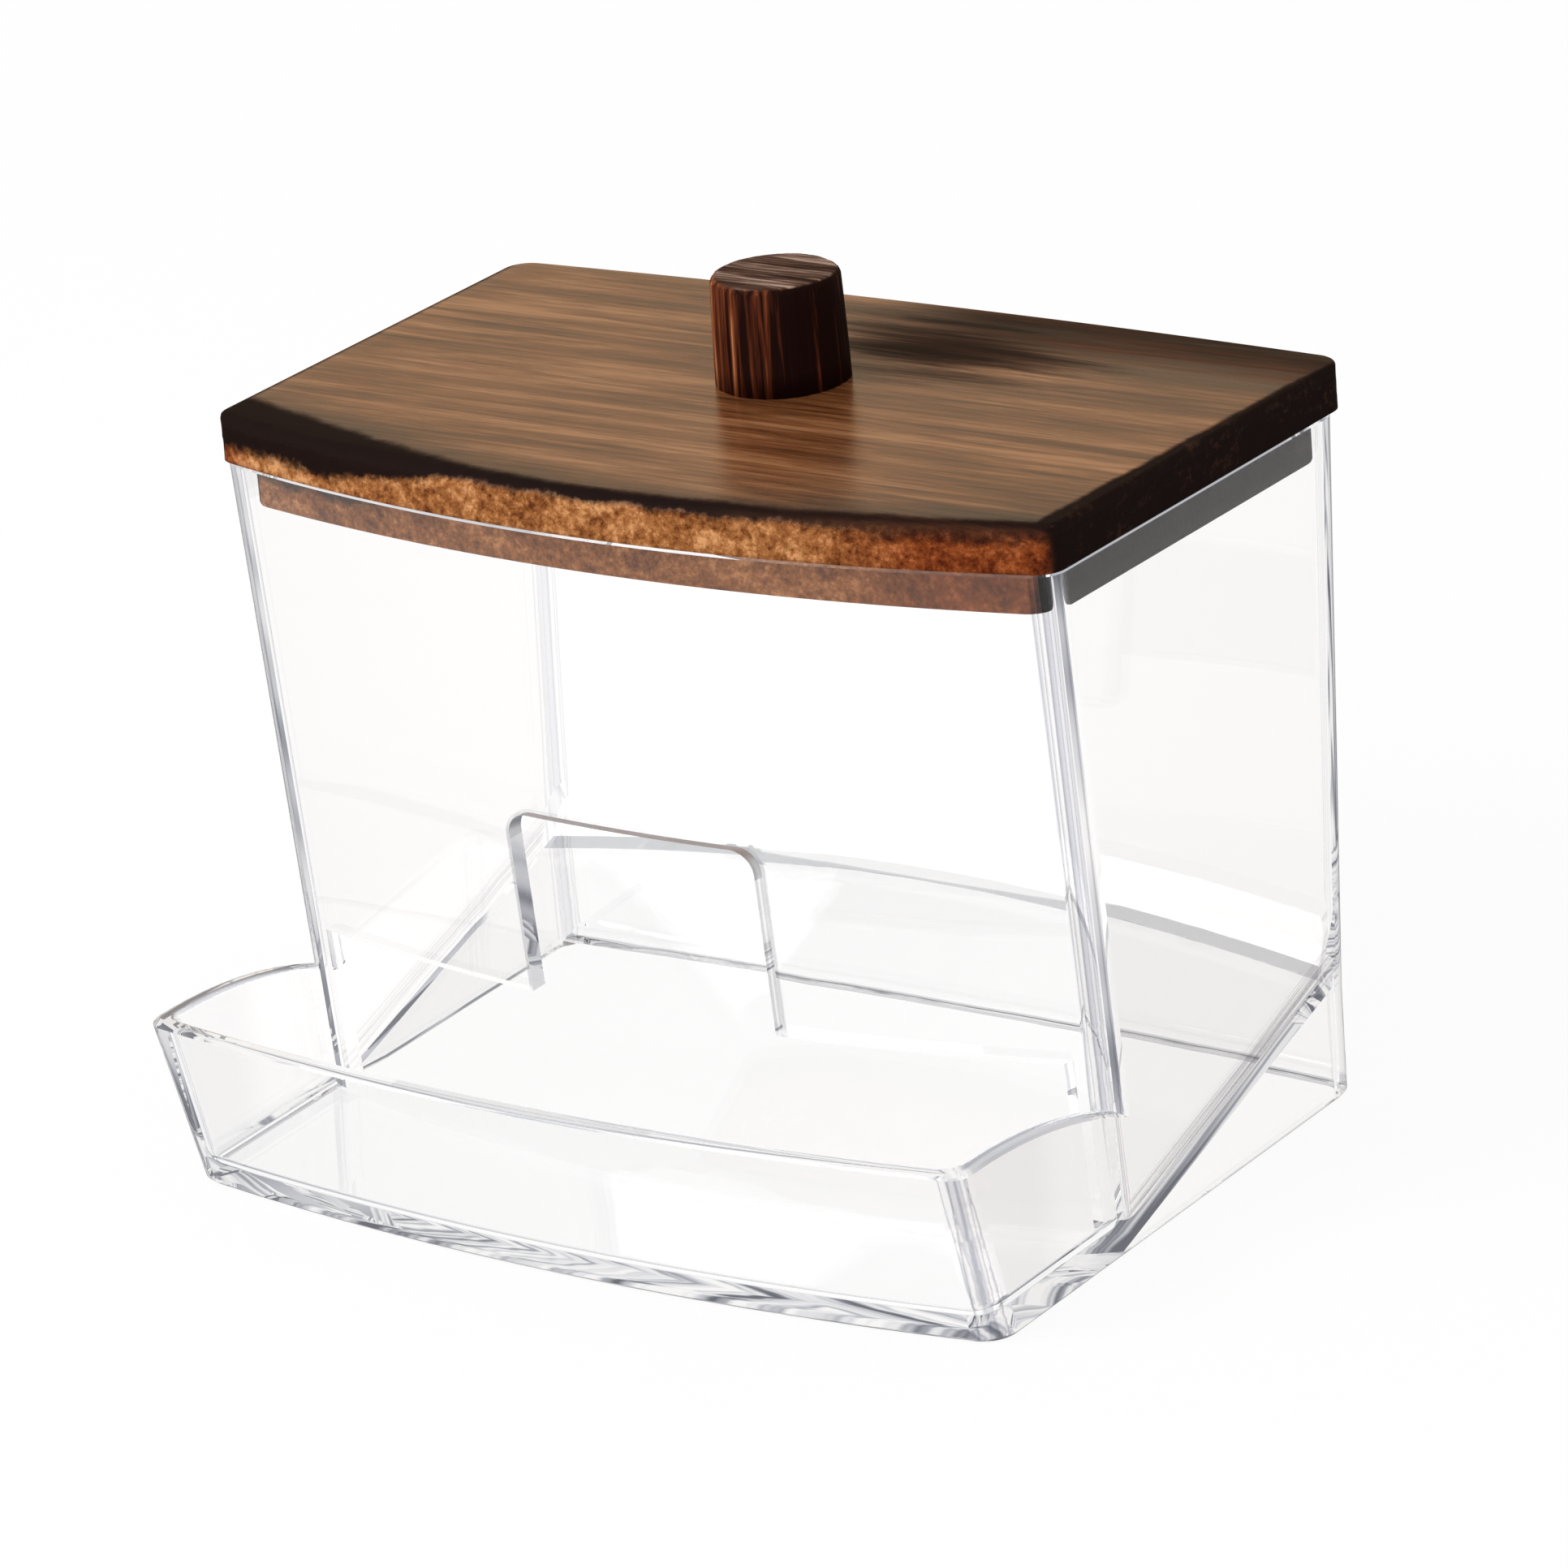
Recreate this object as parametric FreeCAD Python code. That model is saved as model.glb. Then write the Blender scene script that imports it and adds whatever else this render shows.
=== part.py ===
# Countertop dispenser for cotton pads: a one-piece clear moulded body with a
# sloping inner ramp, a dispensing slot with a finger notch and a fixed open
# trough in front, closed by a wooden lid board with a turned wooden knob.
#
# Millimetres. +X is the width, -Y the front, +Z up. The origin is the bottom
# centre of the closed object's bounding box.
import FreeCAD
import Part
import math
import os

V = FreeCAD.Vector
UP = V(0, 0, 1)

# ---------------------------------------------------------------- dimensions
WALL = 2.5                 # moulded wall and ramp thickness
RIM_Z = 86.7               # top edge of the clear body
LIP_Z = 23.6               # top edge of the trough's front lip

# Side walls: half width as a plane  x = HALF_WIDTH + TAPER * y + DRAFT * z
HALF_WIDTH = 59.07
TAPER = 0.018
DRAFT = 0.002

# Bowed walls are parts of cones about upright axes. Each is given by the y of
# the middle of its bow at z = 0 and at its top, and by the y of its axis.
FRONT_WALL_Y0, FRONT_WALL_Y1, FRONT_AXIS = -19.05, -26.05, 186.75
BACK_WALL_Y0, BACK_WALL_Y1, BACK_AXIS = 44.25, 49.25, -880.0
LIP_Y0, LIP_Y1, LIP_AXIS = -43.45, -49.6, 299.4
SKIRT_Y = 45.05            # upright rear skirt under the back wall

BOX_FRONT_R = 4.0          # upright corner radii of the storage box
BOX_BACK_R = 5.0
LIP_R0, LIP_R1 = 4.6, 2.8  # trough corner radius at the foot and at the lip
TROUGH_CORNER_R = 2.4      # inner corners of the trough
BASE_BEVEL = 0.6           # all round the bottom edge
REAR_FOOT_R = 3.6          # larger rounding under the rear skirt

# Trough arms: their top edge is an arc that comes level at the lip
ARM_RADIUS = 85.0
ARM_LEVEL_Y = -40.75
ARM_LOW_Z = 15.0           # the arms' tops stay above this level

# Trough floor and ramp. The ramp follows the front wall's bow, so it is part
# of a cone too, and a steeper straight facet leads it up to the back wall.
FLOOR_TOP_Z = 3.2
RAMP_ANGLE = 17.0
RAMP_FOOT_Y = -16.55
RAMP_FOOT_R = 25.0
FACET_ANGLE = 60.5
FACET_TOP_Y, FACET_TOP_Z = 43.25, 26.8
FOLD_BEVEL = 1.0           # along the folds inside the storage space
TROUGH_FLOOR_R = 2.0       # rounding round the trough floor
TROUGH_BACK_Y = -2.0       # the trough's space ends here, inside the storage box

# Dispensing slot and finger notch in the front wall
SLOT_TOP_Z = 24.6
SLOT_HALF = 53.6
SLOT_BACK_Y = -6.0         # the slot's cutting solid ends here, inside the storage box
NOTCH_HALF = 17.6
NOTCH_TOP_Z = 48.6
NOTCH_R = 3.0

RIM_BEVEL = 0.5            # small bevels and rounding of the moulded edges
ARM_BEVEL = 0.6
LIP_ROUND = 0.9            # inner edge of the lip and the arms

# Lid
LID_OVERHANG = 0.3
LID_THICK = 5.8
LID_BEVEL = 0.5
LID_CORNER_R = 3.4
PLUG_DEPTH = 6.0
PLUG_FRONT_Y, PLUG_FRONT_AXIS = -21.15, 218.25
PLUG_GAP = 0.7
PLUG_CORNER_R = 3.0
PLUG_BEVEL = 0.4

KNOB_Y = 17.75
KNOB_R0, KNOB_R1 = 8.3, 7.9
KNOB_HEIGHT = 13.4
KNOB_CHAMFER = 0.6

SCREW_R = 1.75
SCREW_BORE_R = 2.1
SCREW_HEAD_R = 3.6
SCREW_HEAD_H = 2.2
SCREW_IN_KNOB = 9.0
SCREW_TIP_H = 2.0
RECESS_HALF, RECESS_W, RECESS_DEPTH = 2.1, 0.5, 1.2

BOX_FOOT_Z = 2.0           # the storage box's outline starts here, in the base
TROUGH_CUT_Z = LIP_Z + 6.0     # the trough's cutting solid ends here
ARM_CUT_Y = FRONT_WALL_Y0 + 24.0
FAR = 90.0                 # reach of the cutting solids
PAST = 2.0                 # how far a cutting solid runs past what it cuts
FRONT_TURN, BACK_TURN = 60.0, 24.0     # degrees swept by bowed solids
SIDE_X = 50.0              # an edge whose middle lies further out is at a side
LONG_X = 80.0              # an edge that spans more than this runs across
CORNER_REACH = 4.0         # the corner cutters' size in radii
CORNER_SPANS = (TROUGH_CUT_Z, RIM_Z - PAST)    # levels that divide the corner faces
CORNER_TOLERANCE = 0.002
FUSE_TOLERANCE = 0.001


# ------------------------------------------------------------------- helpers
def mix(a, b, t):
    return a + (b - a) * t


def lines(points):
    return [Part.LineSegment(a, b).toShape() for a, b in zip(points, points[1:])]


def across(points, width):
    """Solid from a closed outline in the YZ plane, run across the width."""
    face = Part.Face(Part.makePolygon(points + points[:1]))
    face.translate(V(-0.5 * width, 0, 0))
    return face.extrude(V(width, 0, 0))


def swept_about(axis_y, edges, turn):
    """Solid from a YZ outline, turned about an upright axis."""
    axis = V(0, axis_y, 0)
    face = Part.Face(Part.Wire(edges))
    face.rotate(axis, UP, -0.5 * turn)
    return face.revolve(axis, UP, turn)


def between_sides(z0, z1, inset):
    """Six-sided block bounded by the two side walls' planes."""
    inset *= math.hypot(1.0, TAPER)

    def at(sign, y, z):
        return V(sign * (HALF_WIDTH + TAPER * y + DRAFT * z - inset), y, z)

    def quad(points):
        return Part.Face(Part.makePolygon(points + points[:1]))

    near = {z: [at(-1, -FAR, z), at(1, -FAR, z)] for z in (z0, z1)}
    far = {z: [at(1, FAR, z), at(-1, FAR, z)] for z in (z0, z1)}
    faces = [quad(near[z] + far[z]) for z in (z0, z1)]
    faces.append(quad(near[z0] + near[z1][::-1]))
    faces.append(quad(far[z0] + far[z1][::-1]))
    for k in (0, 1):
        faces.append(quad([near[z0][k], far[z0][1 - k], far[z1][1 - k], near[z1][k]]))
    return Part.Solid(Part.Shell(faces))


def at_height(value, z, top_z):
    """A value that is given once or as a pair for z = 0 and z = top_z."""
    if isinstance(value, tuple):
        return mix(value[0], value[1], z / top_z)
    return value


def corner_outline(sign, z, top_z, wall, radius, inset):
    """Outline at height z of what rounding one upright corner takes away."""
    y0, y1, axis = wall
    slant = math.hypot(1.0, TAPER)
    half = HALF_WIDTH + DRAFT * z - (inset + radius) * slant
    reach = abs(axis - mix(y0, y1, z / top_z)) - inset - radius
    a, b, c = slant ** 2, half * TAPER - axis, half ** 2 + axis ** 2 - reach ** 2
    y = (-b - math.copysign(math.sqrt(b ** 2 - a * c), axis)) / a
    centre = V(sign * (half + TAPER * y), y, z)
    to_side = V(sign, -TAPER, 0).normalize() * radius
    to_wall = (centre - V(0, axis, z)).normalize() * radius
    to_middle = (to_side + to_wall).normalize() * radius
    edges = [Part.Arc(centre + to_side, centre + to_middle, centre + to_wall).toShape()]
    edges += lines([
        centre + to_wall,
        centre + to_wall * CORNER_REACH,
        centre + (to_side + to_wall) * CORNER_REACH,
        centre + to_side * CORNER_REACH,
        centre + to_side,
    ])
    return Part.Wire(edges)


def bowed_walls(z0, z1, top_z, front, back, inset):
    """Block bounded by the side planes and by a front and a back cone.

    front and back are (y at z = 0, y at top_z, axis y, corner radius); each
    wall is moved in by inset. Corner radii are those after that move.
    """
    block = between_sides(z0, z1, inset)
    corners = []
    for y0, y1, axis, corner in (front, back):
        radii = [abs(axis - mix(y0, y1, z / top_z)) - inset for z in (z0, z1)]
        base = V(0, axis, z0)
        if abs(radii[0] - radii[1]) < 1e-6:
            block = block.common(Part.makeCylinder(radii[0], z1 - z0, base))
        else:
            block = block.common(Part.makeCone(radii[0], radii[1], z1 - z0, base))
        for sign in (-1, 1):
            levels = [z0] + [z for z in CORNER_SPANS if z0 < z < z1] + [z1]
            outlines = [
                corner_outline(sign, z, top_z, (y0, y1, axis), at_height(corner, z, top_z), inset)
                for z in levels
            ]
            corners.append(Part.makeLoft(outlines, True, True))
    return block.cut(corners, CORNER_TOLERANCE)


def rounded(shape, radius, wanted):
    """Fillet the edges for which wanted(edge) is true."""
    return shape.makeFillet(radius, [e for e in shape.Edges if wanted(e)])


def bevelled(shape, size, wanted):
    """Chamfer the edges for which wanted(edge) is true."""
    return shape.makeChamfer(size, [e for e in shape.Edges if wanted(e)])


def middle_of(edge):
    return edge.valueAt(0.5 * (edge.FirstParameter + edge.LastParameter))


def flat_at(z):
    """Edge test: the whole edge lies at height z."""
    def test(edge):
        box = edge.BoundBox
        return abs(box.ZMin - z) < 0.01 and abs(box.ZMax - z) < 0.01
    return test


def box_block(z0, z1, inset):
    """The storage box's outline from z0 to z1, moved in by inset."""
    front = (FRONT_WALL_Y0, FRONT_WALL_Y1, FRONT_AXIS, BOX_FRONT_R - inset)
    back = (BACK_WALL_Y0, BACK_WALL_Y1, BACK_AXIS, BOX_BACK_R - inset)
    return bowed_walls(z0, z1, RIM_Z, front, back, inset)


def base_block(z0, z1, inset, front_r):
    """The trough's and skirt's outline from z0 to z1, moved in by inset."""
    front = (LIP_Y0, LIP_Y1, LIP_AXIS, front_r)
    back = (SKIRT_Y, SKIRT_Y, BACK_AXIS, BOX_BACK_R - inset)
    return bowed_walls(z0, z1, LIP_Z, front, back, inset)


# ----------------------------------------------------------------- the ramp
def ramp_z(y, drop):
    """Height of the ramp in the middle plane, lowered by drop along its normal."""
    a = math.radians(RAMP_ANGLE)
    return FLOOR_TOP_Z + (y - RAMP_FOOT_Y) * math.tan(a) - drop / math.cos(a)


def facet_side(drop, towards):
    """The half space in front of (-1) or behind (1) the facet lowered by drop."""
    a = math.radians(FACET_ANGLE)
    top_y = FACET_TOP_Y + drop / math.sin(a)

    def on_facet(z):
        return V(0, top_y + (z - FACET_TOP_Z) / math.tan(a), z)

    low, high = on_facet(-FAR), on_facet(2 * FAR)
    end_y = towards * 4 * FAR
    return across([low, high, V(0, end_y, high.z), V(0, end_y, low.z)], 4 * FAR)


def above_ramp():
    """Everything over the trough floor, the ramp and the facet behind it."""
    a = math.radians(RAMP_ANGLE)
    reach = RAMP_FOOT_R * math.tan(0.5 * a)
    flat_end = V(0, RAMP_FOOT_Y - reach, FLOOR_TOP_Z)
    middle = flat_end + V(0, math.sin(0.5 * a), 1.0 - math.cos(0.5 * a)) * RAMP_FOOT_R
    slope_y = RAMP_FOOT_Y + reach * math.cos(a)
    slope_start = V(0, slope_y, ramp_z(slope_y, 0))
    edges = [Part.Arc(flat_end, middle, slope_start).toShape()]
    edges += lines([
        slope_start,
        V(0, FAR, ramp_z(FAR, 0)),
        V(0, FAR, RIM_Z + 2 * PAST),
        V(0, -FAR, RIM_Z + 2 * PAST),
        V(0, -FAR, FLOOR_TOP_Z),
        flat_end,
    ])
    return swept_about(FRONT_AXIS, edges, FRONT_TURN).common(facet_side(0, -1))


def below_ramp():
    """Everything one wall thickness under the ramp or behind the facet."""
    low_z = -2 * PAST
    low_y = RAMP_FOOT_Y + (low_z - ramp_z(RAMP_FOOT_Y, WALL)) / math.tan(math.radians(RAMP_ANGLE))
    under = lines([
        V(0, low_y, low_z),
        V(0, FAR, ramp_z(FAR, WALL)),
        V(0, FAR, low_z),
        V(0, low_y, low_z),
    ])
    return swept_about(FRONT_AXIS, under, FRONT_TURN).fuse(facet_side(WALL, 1))


# ----------------------------------------------------------------- the body
def arm_cut():
    """The air over the trough's arms, behind the level lip."""
    level = V(0, ARM_LEVEL_Y, LIP_Z)

    def on_arc(y):
        drop = ARM_RADIUS - math.sqrt(ARM_RADIUS ** 2 - (y - ARM_LEVEL_Y) ** 2)
        return V(0, y, LIP_Z - drop)

    end = on_arc(ARM_CUT_Y)
    middle = on_arc(0.5 * (ARM_CUT_Y + ARM_LEVEL_Y))
    edges = [Part.Arc(level, middle, end).toShape()]
    edges += lines([end, V(0, ARM_CUT_Y, FAR), V(0, ARM_LEVEL_Y, FAR), level])
    face = Part.Face(Part.Wire(edges))
    face.translate(V(-FAR, 0, 0))
    return face.extrude(V(2 * FAR, 0, 0))


def notch_cut():
    """Finger notch: open at the bottom, rounded upper corners."""
    y = -FAR / 2
    top = NOTCH_TOP_Z - NOTCH_R
    low = SLOT_TOP_Z - PAST
    side = NOTCH_HALF - NOTCH_R
    d = NOTCH_R * math.sqrt(0.5)
    right = [
        Part.LineSegment(V(NOTCH_HALF, y, low), V(NOTCH_HALF, y, top)).toShape(),
        Part.Arc(V(NOTCH_HALF, y, top), V(side + d, y, top + d),
                 V(side, y, NOTCH_TOP_Z)).toShape(),
    ]
    left = [
        Part.Arc(V(-side, y, NOTCH_TOP_Z), V(-side - d, y, top + d),
                 V(-NOTCH_HALF, y, top)).toShape(),
        Part.LineSegment(V(-NOTCH_HALF, y, top), V(-NOTCH_HALF, y, low)).toShape(),
    ]
    roof = Part.LineSegment(V(side, y, NOTCH_TOP_Z), V(-side, y, NOTCH_TOP_Z)).toShape()
    base = Part.LineSegment(V(-NOTCH_HALF, y, low), V(NOTCH_HALF, y, low)).toShape()
    face = Part.Face(Part.Wire(right + [roof] + left + [base]))
    return face.extrude(V(0, FAR / 2, 0))


def slot_cut(above):
    """Dispensing slot under the front wall, down to the ramp."""
    front_y = FRONT_WALL_Y1 - PAST
    block = Part.makeBox(2 * SLOT_HALF, SLOT_BACK_Y - front_y, SLOT_TOP_Z, V(-SLOT_HALF, front_y, 0))
    return block.common(above)


def rear_foot_cut():
    """What the rounding under the rear skirt takes away."""
    r = REAR_FOOT_R
    d = r * (1.0 - math.sqrt(0.5))
    edges = [Part.Arc(V(0, SKIRT_Y, r), V(0, SKIRT_Y - d, d), V(0, SKIRT_Y - r, 0)).toShape()]
    edges += lines([
        V(0, SKIRT_Y - r, 0),
        V(0, SKIRT_Y - r, -r),
        V(0, SKIRT_Y + r, -r),
        V(0, SKIRT_Y + r, r),
        V(0, SKIRT_Y, r),
    ])
    return swept_about(BACK_AXIS, edges, BACK_TURN)


def is_arm_top_edge(edge):
    """Outer top edges of the lip and the arms."""
    box = edge.BoundBox
    middle = middle_of(edge)
    runs_along = box.YLength > WALL or abs(middle.x) < SIDE_X
    on_top = ARM_LOW_Z < middle.z and box.ZMax < LIP_Z + 0.1
    return runs_along and on_top and middle.y < ARM_CUT_Y


def is_lip_inner_edge(edge):
    """Inner top edges of the lip and the arms."""
    box = edge.BoundBox
    middle = middle_of(edge)
    inside = abs(middle.x) < HALF_WIDTH - 0.7 * WALL and middle.y > LIP_Y1 + 0.7 * WALL
    on_top = ARM_LOW_Z < middle.z and box.ZMax < LIP_Z + 0.1 and box.ZLength < 3 * WALL
    return on_top and inside and middle.y < FRONT_WALL_Y0


def is_storage_fold(edge):
    """Folds between the ramp, the facet and the back wall."""
    middle = middle_of(edge)
    return edge.BoundBox.XLength > LONG_X and middle.y > 0 and middle.z < FACET_TOP_Z + 1.0


def is_trough_floor_edge(edge):
    """Front, corner and side edges of the trough floor."""
    box = edge.BoundBox
    middle = middle_of(edge)
    if box.XLength > LONG_X:
        return middle.y < LIP_Y0 + 3 * WALL and box.ZMax < FLOOR_TOP_Z + 0.1
    return abs(middle.x) > SIDE_X and box.ZMax < ARM_LOW_Z


def trough_space(above):
    """The open trough, from the lip back to under the storage box."""
    block = base_block(0, TROUGH_CUT_Z, WALL, TROUGH_CORNER_R)
    behind = Part.makeBox(4 * FAR, 2 * FAR, 2 * FAR, V(-2 * FAR, TROUGH_BACK_Y, -FAR))
    return rounded(block.cut(behind).common(above), TROUGH_FLOOR_R, is_trough_floor_edge)


def make_body():
    box_outer = box_block(BOX_FOOT_Z, RIM_Z, 0)
    base_outer = base_block(0, LIP_Z, 0, (LIP_R0, LIP_R1))
    base_outer = bevelled(base_outer, BASE_BEVEL, flat_at(0))
    base_outer = base_outer.cut([arm_cut(), rear_foot_cut()])
    base_outer = bevelled(base_outer, ARM_BEVEL, is_arm_top_edge)
    outer = box_outer.fuse([base_outer], FUSE_TOLERANCE).removeSplitter()

    above = above_ramp()
    storage = bevelled(box_block(0, RIM_Z + PAST, WALL).common(above), FOLD_BEVEL, is_storage_fold)
    trough = trough_space(above).cut(box_outer)
    underside = base_block(-PAST, LIP_Z, WALL, TROUGH_CORNER_R).common(below_ramp())

    body = outer.cut([storage, trough, underside, slot_cut(above), notch_cut()]).removeSplitter()
    body = bevelled(body, RIM_BEVEL, flat_at(RIM_Z))
    return rounded(body, LIP_ROUND, is_lip_inner_edge)


# ------------------------------------------------------------------ the lid
def make_lid():
    """Board with its rebated plug, bored and countersunk for the knob screw."""
    front = (FRONT_WALL_Y1, FRONT_WALL_Y1, FRONT_AXIS, LID_CORNER_R)
    back = (BACK_WALL_Y1, BACK_WALL_Y1, BACK_AXIS, LID_CORNER_R)
    board = bowed_walls(RIM_Z, RIM_Z + LID_THICK, RIM_Z, front, back, -LID_OVERHANG)
    board = bevelled(board, LID_BEVEL, flat_at(RIM_Z + LID_THICK))
    low = RIM_Z - PLUG_DEPTH
    inset = WALL + PLUG_GAP
    plug_y = PLUG_FRONT_Y - inset
    front = (plug_y, plug_y, PLUG_FRONT_AXIS, PLUG_CORNER_R)
    back = (BACK_WALL_Y1, BACK_WALL_Y1, BACK_AXIS, PLUG_CORNER_R)
    plug = bowed_walls(low, RIM_Z + 0.5 * LID_THICK, RIM_Z, front, back, inset)
    plug = bevelled(plug, PLUG_BEVEL, flat_at(low))
    bore = Part.makeCylinder(SCREW_BORE_R, LID_THICK + PLUG_DEPTH, V(0, KNOB_Y, low))
    sink = Part.makeCone(SCREW_HEAD_R + 0.2, SCREW_BORE_R, SCREW_HEAD_H, V(0, KNOB_Y, low))
    return board.fuse(plug).cut([bore, sink]).removeSplitter()


def make_knob():
    """Turned knob, slightly tapered, with a pilot hole from below."""
    profile = [
        V(0, 0, 0),
        V(KNOB_R0, 0, 0),
        V(KNOB_R1, 0, KNOB_HEIGHT - KNOB_CHAMFER),
        V(KNOB_R1 - KNOB_CHAMFER, 0, KNOB_HEIGHT),
        V(0, 0, KNOB_HEIGHT),
        V(0, 0, 0),
    ]
    knob = Part.Face(Part.makePolygon(profile)).revolve(V(0, 0, 0), UP, 360)
    pilot = Part.makeCylinder(SCREW_R, SCREW_IN_KNOB + 0.5)
    knob = knob.cut(pilot)
    knob.translate(V(0, KNOB_Y, RIM_Z + LID_THICK))
    return knob


def make_screw():
    """Countersunk wood screw with a cross recess, driven up into the knob."""
    low = RIM_Z - PLUG_DEPTH
    length = PLUG_DEPTH + LID_THICK + SCREW_IN_KNOB
    profile = [
        V(0, 0, 0),
        V(SCREW_HEAD_R, 0, 0),
        V(SCREW_R, 0, SCREW_HEAD_H),
        V(SCREW_R, 0, length - SCREW_TIP_H),
        V(0, 0, length),
        V(0, 0, 0),
    ]
    screw = Part.Face(Part.makePolygon(profile)).revolve(V(0, 0, 0), UP, 360)
    for a, b in ((RECESS_HALF, RECESS_W), (RECESS_W, RECESS_HALF)):
        screw = screw.cut(Part.makeBox(2 * a, 2 * b, 2 * RECESS_DEPTH, V(-a, -b, -RECESS_DEPTH)))
    screw.translate(V(0, KNOB_Y, low))
    return screw


# ------------------------------------------------------------------- output
def main():
    os.makedirs("parts", exist_ok=True)
    nodes = {
        "clear_body": make_body(),
        "lid_board": make_lid(),
        "lid_knob": make_knob(),
        "knob_screw": make_screw(),
    }
    for name, shape in nodes.items():
        solid = shape.Solids[0]
        print(name, "solids", len(shape.Solids), "valid", solid.isValid(),
              "volume", round(solid.Volume, 1), solid.BoundBox)
        solid.exportStep("parts/" + name + ".step")


main()
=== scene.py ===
import math

import bpy
from mathutils import Matrix, Vector, noise as relief


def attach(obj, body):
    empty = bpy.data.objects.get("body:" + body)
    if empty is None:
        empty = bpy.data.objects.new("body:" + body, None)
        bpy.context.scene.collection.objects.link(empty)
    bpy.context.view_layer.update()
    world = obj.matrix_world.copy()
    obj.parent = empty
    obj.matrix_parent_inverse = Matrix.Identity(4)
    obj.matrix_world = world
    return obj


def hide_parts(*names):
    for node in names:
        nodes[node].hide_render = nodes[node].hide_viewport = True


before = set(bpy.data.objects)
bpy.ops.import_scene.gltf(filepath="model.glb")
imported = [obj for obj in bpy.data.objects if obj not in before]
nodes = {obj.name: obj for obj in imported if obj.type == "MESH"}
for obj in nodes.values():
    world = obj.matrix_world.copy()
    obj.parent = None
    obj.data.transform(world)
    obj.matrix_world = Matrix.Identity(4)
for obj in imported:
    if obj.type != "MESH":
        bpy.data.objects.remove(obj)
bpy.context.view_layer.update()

# Lengths are in millimetres, as in the CAD part, and MM turns them into Blender's metres.
MM = 0.001

# The lid's plan: side walls at x = HALF_WIDTH + TAPER * y, and bowed front and back
# edges, each given by its middle and its axis. The plug has a front edge of its own.
# The board and the plug are this plan, grown or shrunk and with rounded corners.
HALF_WIDTH, TAPER = 59.25, 0.018
FRONT_Y, FRONT_AXIS = -26.05, 186.75
BACK_Y, BACK_AXIS = 49.25, -880.0
PLUG_Y, PLUG_AXIS = -21.15, 218.25
BOARD_GROW, BOARD_CORNER = 0.3, 3.4
PLUG_GROW, PLUG_CORNER = -3.2, 3.0
PLUG_Z, RIM_Z, TOP_Z = 80.7, 86.7, 92.5
PLUG_EASE = 0.4

# The knob, its radius at the foot and at the top, and the screw's bore under it.
KNOB_Y, KNOB_R0, KNOB_R1, KNOB_HEIGHT = 17.75, 8.3, 7.9, 13.4
BORE_R, SINK_R, SINK_H = 2.1, 3.8, 2.2

# The board's top edge is rounded over by EDGE_ROUND. In front it is worn further, by
# about EDGE_WORN and most of all in a scoop. From FLAT_FROM in, the top is quite flat.
EDGE_ROUND, EDGE_WORN = 0.55, 1.25
SCOOP_X, SCOOP_WIDTH, SCOOP_DEPTH = -27.0, 9.0, 1.5
FLAT_FROM = 3.0
CHIP_SIDES, CHIP_FRONT = 0.06, 0.16

# The knob's flank is worn in by furrows and by broad lumps.
FURROW_DEPTH, LUMP_DEPTH = 0.14, 0.22

# How finely the outlines are drawn.
BOARD_STEP, PLUG_STEP, FEWEST_STEPS = 0.45, 0.9, 6
SIDE_LEVELS, ROUND_LEVELS = 8, 8
BORE_POINTS, KNOB_POINTS = 48, 240

# The clear body, where grey lines are painted on its plastic as painted shade in place of
# its refraction. The ramp slopes by 17 degrees, and its top lies RAMP_TOP from the parallel
# plane through the origin. Behind a bevel a steeper facet goes on from it; both are known by how far
# their normals point up.
RAMP_UP, RAMP_BACK = math.cos(math.radians(17)), math.sin(math.radians(17))
RAMP_TOP, RAMP_THICK = 7.9, 2.6
BEVEL_UP, BEVEL_TO_Z = ((0.74, 0.76), (0.82, 0.84)), 20.4
FACET_UP = ((0.42, 0.46), (0.53, 0.57))
NOTCH_HALF, NOTCH_TOP, NOTCH_R, NOTCH_FROM_Z = 17.6, 48.6, 3.0, 24.0
FRONT_WALL_TO_Y, TROUGH_TO_Y = -12.0, -18.0
SIDE_ZONE, RAMP_ZONE_TOP, BASE_ZONE_TOP = 3.4, 27.0, 4.5

# A ray that has turned or been mirrored more often than this counts as trapped inside.
MOST_TURNS, MOST_MIRRORINGS = 9.5, 2.5

# The wood: the grain's directions on the lid and on the knob's top, how light the lid's
# top is on its ramp of colours, and the painted shadow of the knob on it.
GRAIN_TURN = (0, 0, math.radians(-3))
FACE_TURN = (0, 0, math.radians(62))
TOP_LIGHTNESS = 0.475
PATCH_X, PATCH_Y, PATCH_WIDTH, PATCH_DEPTH = 13.0, 35.0, 20.0, 12.0

WHITE = (1.0, 1.0, 1.0)
CHAR = (0.012, 0.005, 0.004)
TOP_WOOD = [
    (0.28, (0.050, 0.015, 0.005)),
    (0.42, (0.122, 0.040, 0.013)),
    (0.54, (0.208, 0.076, 0.027)),
    (0.70, (0.370, 0.165, 0.070)),
]
EDGE_WOOD = [
    (0.28, (0.095, 0.024, 0.006)),
    (0.42, (0.235, 0.078, 0.021)),
    (0.56, (0.380, 0.146, 0.045)),
    (0.74, (0.660, 0.320, 0.135)),
]
KNOB_FLANK = [
    (0.36, (0.012, 0.002, 0.001)),
    (0.48, (0.085, 0.017, 0.005)),
    (0.60, (0.230, 0.062, 0.018)),
    (0.72, (0.580, 0.270, 0.130)),
]
KNOB_FACE = [
    (0.36, (0.022, 0.009, 0.006)),
    (0.50, (0.110, 0.052, 0.034)),
    (0.64, (0.480, 0.330, 0.250)),
]
# Painted shade on the clear plastic, in place of its refraction: darker where a surface is seen at a
# slant.
PAINTED_SLANT_SHADE = [
    (0.30, WHITE),
    (0.50, (0.975, 0.973, 0.968)),
    (0.80, (0.90, 0.90, 0.905)),
    (1.00, (0.70, 0.71, 0.74)),
]
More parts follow.
